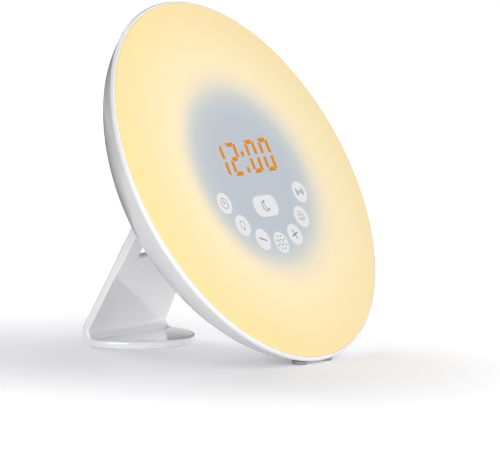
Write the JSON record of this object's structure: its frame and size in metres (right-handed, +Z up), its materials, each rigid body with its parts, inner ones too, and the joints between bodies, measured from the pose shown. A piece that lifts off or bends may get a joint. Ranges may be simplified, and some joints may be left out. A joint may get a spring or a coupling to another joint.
{
  "type": "sunrise alarm clock",
  "caption": "Round bedside lamp clock leaning back on a plug-in bent plate stand, with an opal lamp face, an orange read-out and touch keys.",
  "frame": {"origin": "centre of the bounding box on the surface that the clock stands on", "axes": "+Z up; the lamp face looks towards -Y and leans back 30 degrees; +X is to the right of a person who faces the clock"},
  "size_m": [0.2, 0.1222, 0.1751],
  "materials": {
    "white_housing": "moulded white ABS, fine satin gloss",
    "stand_white": "moulded white ABS plate, satin gloss",
    "opal_lamp": "opal polycarbonate, lit warm from behind, grey in the middle",
    "key_white": "white translucent window with a thin grey symbol",
    "digit_lit": "lit orange window",
    "digit_unlit": "unlit window, faint pinkish grey",
    "module_grey": "digit module, moulded",
    "foam_dark": "conductive or sealing foam",
    "board_green": "glass-fibre circuit board with green solder mask",
    "board_white": "glass-fibre circuit board with white solder mask",
    "chip_black": "moulded chip package",
    "screw_steel": "zinc-plated steel",
    "white_inner": "moulded white reflector plastic",
    "led_yellow": "diode package with phosphor",
    "capacitor_blue": "sleeved aluminium can",
    "ferrite": "dark ferrite",
    "connector_ivory": "moulded nylon socket",
    "cable_grey": "flat laminated cable",
    "speaker_steel": "pressed steel basket",
    "cone_black": "coated paper cone",
    "grille_grey": "moulded grille",
    "lead_red": "red insulated lead",
    "lead_black": "black insulated lead",
    "jack_black": "moulded black inlet",
    "pin_nickel": "nickel-plated pin",
    "cell_steel": "stainless steel can",
    "contact_gold": "gold-plated spring contact",
    "foot_rubber": "dark grey rubber"
  },
  "bodies": {
    "clock": {"rear_housing": "white_housing", "front_diffuser": "opal_lamp", "touch_keys": "key_white", "snooze_key": "key_white", "lit_segments": "digit_lit", "unlit_segments": "digit_unlit", "display_module": "module_grey", "touch_pads": "foam_dark", "control_board": "board_green", "control_chips": "chip_black", "control_screws": "screw_steel", "light_shroud": "white_inner", "lamp_board": "board_white", "lamp_leds": "led_yellow", "inner_frame": "white_inner", "main_board": "board_green", "main_chip": "chip_black", "main_capacitors": "capacitor_blue", "power_inductor": "ferrite", "board_connectors": "connector_ivory", "board_screws": "screw_steel", "display_cable": "cable_grey", "speaker_gasket": "foam_dark", "speaker_frame": "speaker_steel", "speaker_cone": "cone_black", "speaker_magnet": "ferrite", "speaker_grille": "grille_grey", "speaker_screws": "screw_steel", "speaker_leads": "lead_red", "dc_jack": "jack_black", "dc_jack_pin": "pin_nickel", "dc_leads": "lead_black", "lamp_leads": "lead_red", "coin_cell": "cell_steel", "battery_contacts": "contact_gold", "battery_leads": "lead_black", "housing_screws": "screw_steel", "front_feet": "foot_rubber"},
    "stand": {"stand": "stand_white"},
    "battery_door": {"battery_door": "white_housing"}
  },
  "joints": [
    {"name": "stand_slide", "type": "slide", "parent": "clock", "child": "stand", "axis": [0, 0.4147, -0.91], "range_m": [0, 0.016]},
    {"name": "battery_door_turn", "type": "hinge", "parent": "clock", "child": "battery_door", "pos_m": [0, 0.03757, 0.0919], "axis": [0, 0.866, -0.5], "range_deg": [0, 45]}
  ]
}
